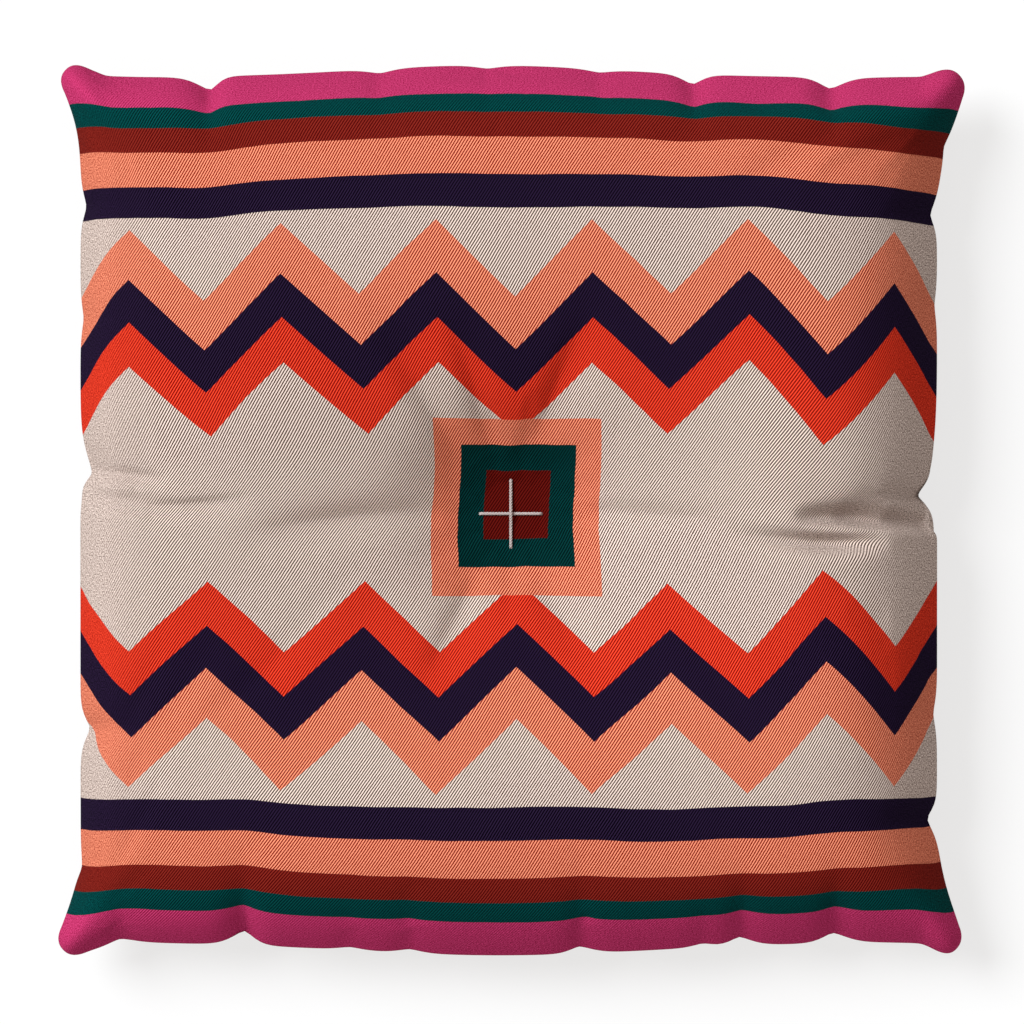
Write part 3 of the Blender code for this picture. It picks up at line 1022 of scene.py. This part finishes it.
@dataclass(frozen=True)
class BandedPrint:
    """A plain banded print: nested zigzags, stripes at two edges and squares at the stitch, whose green and
    maroon are darkened as painted shade of the pit there.

    Sizes are in metres of flat cloth, from the panel's middle line towards the far and near seams.
    """

    zigzag_half_period: float = 0.055
    zigzag_slope: float = 0.9
    zigzags: tuple[tuple[float, Dye], ...] = (
        (0.052, Dye.RED_ORANGE),
        (0.083, Dye.INDIGO),
        (0.113, Dye.PEACH),
        (0.148, Dye.BEIGE),
    )
    stripes: tuple[tuple[float, Dye], ...] = (
        (0.206, Dye.INDIGO),
        (0.228, Dye.PEACH),
        (0.253, Dye.MAROON),
        (0.271, Dye.TEAL),
        (0.288, Dye.MAGENTA),
    )
    # Painted shade: the two inner squares take the darker green and maroon that stand for the shade in the
    # pit at the stitch.
    squares: tuple[tuple[float, Dye], ...] = (
        (0.062, Dye.PEACH),
        (0.042, Dye.GREEN),
        (0.023, Dye.WINE),
    )
    blur: float = 0.0002
    waver: float = 0.0012
    waver_scale: float = 22.0
    waver_detail: float = 1.0

    def paint(self, sheet: NodeSheet, across: Socket, along: Socket, place: Socket) -> tuple[Socket, Socket]:
        """Lays the print down, dye over dye.

        Args:
            sheet: The material's nodes.
            across: Metres of cloth to the right of the panel's middle.
            along: Metres of cloth beyond the panel's middle.
            place: The cloth's own place as a vector, for the noise.

        Returns:
            The print as it shows on a rib, and as it shows in a gap.
        """
        drift = sheet.math("SUBTRACT", sheet.noise(place, self.waver_scale, self.waver_detail), 0.5)
        drift = sheet.math("MULTIPLY", drift, self.waver)
        from_middle = sheet.math("ADD", sheet.math("ABSOLUTE", along), drift)
        to_side = sheet.math("ADD", sheet.math("ABSOLUTE", across), drift)
        climb = sheet.math("PINGPONG", to_side, self.zigzag_half_period)
        climb = sheet.math("MULTIPLY", climb, self.zigzag_slope)
        below_zigzag = sheet.math("SUBTRACT", from_middle, climb)
        from_stitch = sheet.math("MAXIMUM", to_side, from_middle)

        layers = [(sheet.above(below_zigzag, edge, self.blur), dye) for edge, dye in self.zigzags]
        layers += [(sheet.above(from_middle, edge, self.blur), dye) for edge, dye in self.stripes]
        for edge, dye in self.squares:
            outside = sheet.above(from_stitch, edge, self.blur)
            layers.append((sheet.math("SUBTRACT", 1.0, outside), dye))
        on_rib = Dye.BEIGE.rib
        in_gap = Dye.BEIGE.gap
        for share, dye in layers:
            on_rib = sheet.mix(Mixed.COLOURS, share, on_rib, dye.rib)
            in_gap = sheet.mix(Mixed.COLOURS, share, in_gap, dye.gap)
        return on_rib, in_gap


@dataclass(frozen=True)
class TwillFinish:
    """Coarse cotton twill, whose ribs break up on steep cloth and by the side seams."""

    name: str
    pattern: BandedPrint | None
    panel_map: str = "Panel"
    panel_side: float = 0.66
    rib_pitch: float = 0.00175
    rib_lean: float = radians(57)
    rib_edge: float = 0.05
    rib_blur: float = 0.24
    grain_scale: float = 640.0
    grain_detail: float = 1.0
    grain_blur: float = 0.27
    grain_share: float = 0.06
    steep_level: float = 0.70
    steep_blur: float = 0.18
    worn_from_middle: float = 0.284
    worn_blur: float = 0.028
    float_pitch: float = 0.0017
    float_height: float = 0.12
    unevenness: float = 0.00045
    unevenness_scale: float = 55.0
    relief: float = 0.0003
    relief_strength: float = 0.5
    roughness: float = 0.9
    specular: float = 0.01

    def make(self) -> bpy.types.Material:
        """Writes the material.

        Returns:
            The finished material.
        """
        sheet = NodeSheet(self.name)
        source = sheet.tree.nodes.new("ShaderNodeUVMap")
        source.uv_map = self.panel_map
        place = source.outputs["UV"]
        split = sheet.tree.nodes.new("ShaderNodeSeparateXYZ")
        sheet.feed(split.inputs[0], place)
        from_middle = [sheet.math("SUBTRACT", split.outputs[axis], 0.5) for axis in ("X", "Y")]
        across, along = [sheet.math("MULTIPLY", share, self.panel_side) for share in from_middle]

        wander = sheet.math("SUBTRACT", sheet.noise(place, self.unevenness_scale), 0.5)
        wander = sheet.math("MULTIPLY", wander, self.unevenness)
        square_to_rib = sheet.math(
            "SUBTRACT",
            sheet.math("MULTIPLY", across, sin(self.rib_lean)),
            sheet.math("MULTIPLY", along, cos(self.rib_lean)),
        )
        square_to_rib = sheet.math("ADD", square_to_rib, wander)
        turn = sheet.math("MULTIPLY", square_to_rib, tau / self.rib_pitch)
        wave = sheet.math("COSINE", turn)
        rib = sheet.above(wave, self.rib_edge, self.rib_blur)
        specks = sheet.noise(place, self.grain_scale, self.grain_detail)
        grain = sheet.above(specks, 0.5, self.grain_blur)
        rib = sheet.mix(Mixed.NUMBERS, self.grain_on(sheet, across), rib, grain)

        if self.pattern:
            on_rib, in_gap = self.pattern.paint(sheet, across, along, place)
        else:
            on_rib, in_gap = Dye.BEIGE.rib, Dye.BEIGE.gap
        colour = sheet.mix(Mixed.COLOURS, rib, in_gap, on_rib)
        sheet.feed(sheet.shader.inputs["Base Color"], colour)

        height = sheet.math("MULTIPLY", sheet.math("ADD", wave, 1.0), 0.5)
        picks = sheet.math("COSINE", sheet.math("MULTIPLY", along, tau / self.float_pitch))
        height = sheet.math("ADD", height, sheet.math("MULTIPLY", picks, self.float_height))
        sheet.bump(height, self.relief, self.relief_strength)
        sheet.shader.inputs["Roughness"].default_value = self.roughness
        sheet.shader.inputs["Specular IOR Level"].default_value = self.specular
        return sheet.material

    def grain_on(self, sheet: NodeSheet, across: Socket) -> Socket:
        """How far plain grain hides the ribs: a little on level cloth, wholly on steep or worn cloth.

        Args:
            sheet: The material's nodes.
            across: Metres of cloth to the right of the panel's middle.

        Returns:
            The grain's share, up to 1.
        """
        normal = sheet.tree.nodes.new("ShaderNodeSeparateXYZ")
        sheet.feed(normal.inputs[0], sheet.tree.nodes.new("ShaderNodeNewGeometry").outputs["Normal"])
        upright = sheet.math("ABSOLUTE", normal.outputs["Z"])
        level = sheet.above(upright, self.steep_level, self.steep_blur)
        worn = sheet.above(sheet.math("ABSOLUTE", across), self.worn_from_middle, self.worn_blur)
        ribbed = sheet.math("MULTIPLY", level, sheet.math("SUBTRACT", 1.0, worn))
        return sheet.math("SUBTRACT", 1.0, sheet.math("MULTIPLY", ribbed, 1 - self.grain_share))


@dataclass(frozen=True)
class ThreadFinish:
    """Off-white cotton thread with the fine lie of its fibres, its colours darkened as painted shade of the
    pit it lies in.
    """

    name: str = "white_thread"
    # Painted shade: both fibre colours are well below an off-white thread's, to stand for the shade in the
    # pit at the stitch.
    light: Colour = (0.47, 0.41, 0.39)
    dark: Colour = (0.30, 0.25, 0.24)
    fibre_scale: float = 2600.0
    fibre_detail: float = 3.0
    fibre_blur: float = 0.2
    relief: float = 0.0001
    relief_strength: float = 0.6
    roughness: float = 0.75
    sheen: float = 0.2

    def make(self) -> bpy.types.Material:
        """Writes the material.

        Returns:
            The finished material.
        """
        sheet = NodeSheet(self.name)
        place = sheet.tree.nodes.new("ShaderNodeTexCoord").outputs["Object"]
        fibre = sheet.noise(place, self.fibre_scale, self.fibre_detail)
        share = sheet.above(fibre, 0.5, self.fibre_blur)
        colour = sheet.mix(Mixed.COLOURS, share, self.dark, self.light)
        sheet.feed(sheet.shader.inputs["Base Color"], colour)
        sheet.bump(fibre, self.relief, self.relief_strength)
        sheet.shader.inputs["Roughness"].default_value = self.roughness
        sheet.shader.inputs["Sheen Weight"].default_value = self.sheen
        return sheet.material


@dataclass(frozen=True)
class Studio:
    """A pale floor, soft light from the upper left and a camera straight above."""

    key_strength: float = 4.29
    key_colour: Colour = (0.943, 0.976, 1.0)
    key_from_top: float = radians(41)
    key_turn: float = radians(149)
    key_spread: float = radians(30)
    top_strength: float = 0.40
    top_spread: float = radians(70)
    fill_light: float = 0.400
    fill_colour: Colour = (1.0, 0.905, 0.84)
    floor_half: float = 4.0
    floor_colour: Colour = (0.21, 0.21, 0.21)
    floor_glow: float = 0.70
    camera_height: float = 6.0
    aim: tuple[float, float] = (0.00035, -0.0014)
    picture_side: int = 1024
    metres_per_pixel: float = 0.000705
    sensor: float = 36.0

    def build(self, seam_height: float) -> None:
        """Sets up the floor, the light and the camera.

        Args:
            seam_height: Height of the pillow's outline, where the picture's scale holds.
        """
        bpy.context.scene.view_settings.view_transform = "Standard"
        self.lay_floor()
        self.hang_lights()
        self.place_camera(seam_height)

    def lay_floor(self) -> None:
        """Lays the pale paper that the pillow lies on."""
        half = self.floor_half
        corners = [(-half, -half, 0), (half, -half, 0), (half, half, 0), (-half, half, 0)]
        mesh = bpy.data.meshes.new("studio_floor")
        mesh.from_pydata(corners, [], [(0, 1, 2, 3)])
        paper = NodeSheet("floor_paper")
        paper.feed(paper.shader.inputs["Base Color"], self.floor_colour)
        paper.shader.inputs["Roughness"].default_value = 1.0
        paper.shader.inputs["Specular IOR Level"].default_value = 0.0
        paper.shader.inputs["Emission Color"].default_value = (1, 1, 1, 1)
        paper.shader.inputs["Emission Strength"].default_value = self.floor_glow
        mesh.materials.append(paper.material)
        floor = add_object("studio_floor", mesh)

    def hang_lights(self) -> None:
        """Sets a soft key at the upper left, a weak one overhead and a pale room around them."""
        lights = (
            ("soft_key", self.key_strength, self.key_spread, self.key_from_top),
            ("soft_top", self.top_strength, self.top_spread, 0.0),
        )
        for name, strength, spread, from_top in lights:
            light = bpy.data.lights.new(name, "SUN")
            light.energy = strength
            light.color = self.key_colour
            light.angle = spread
            lamp = add_object(name, light)
            lamp.rotation_euler = (from_top, 0, self.key_turn + pi / 2)

        world = bpy.data.worlds.new("pale_room")
        world.use_nodes = True
        sky = world.node_tree.nodes["Background"]
        sky.inputs["Color"].default_value = (*self.fill_colour, 1)
        sky.inputs["Strength"].default_value = self.fill_light
        bpy.context.scene.world = world

    def place_camera(self, seam_height: float) -> None:
        """Places the camera straight above the pillow.

        Args:
            seam_height: Height at which the picture's scale holds.
        """
        camera = bpy.data.cameras.new("camera")
        camera.sensor_width = self.sensor
        field = self.picture_side * self.metres_per_pixel
        camera.lens = self.sensor * (self.camera_height - seam_height) / field
        view = add_object("camera", camera)
        view.location = (*self.aim, self.camera_height)
        bpy.context.scene.camera = view


def report(piece: bpy.types.Object) -> None:
    """Writes a piece's name and its number of faces to the log."""
    log.info("%s: %d faces", piece.name, len(piece.data.polygons))


def main() -> None:
    """Builds, dresses and reports each piece in order."""
    logging.basicConfig(level=logging.INFO, format="%(message)s")
    form = CoverForm()
    filled = FilledCover(form, ClothSettling())
    cover = filled.build()
    printed = TwillFinish("printed_twill", BandedPrint()).make()
    plain = TwillFinish("plain_twill", None).make()
    filled.dress(cover, printed, plain)
    report(cover)

    thread = ThreadFinish().make()
    runs = (
        TwistedThread("stitch_thread_across", "stitch_across", (1.0, 0.0), 0.0),
        TwistedThread("stitch_thread_upright", "stitch_upright", (0.0, 1.0), 0.0026),
    )
    for run in runs:
        piece = run.build()
        run.dress(piece, thread)
        report(piece)

    Studio().build(form.seam_height)


if __name__ == "__main__":
    main()
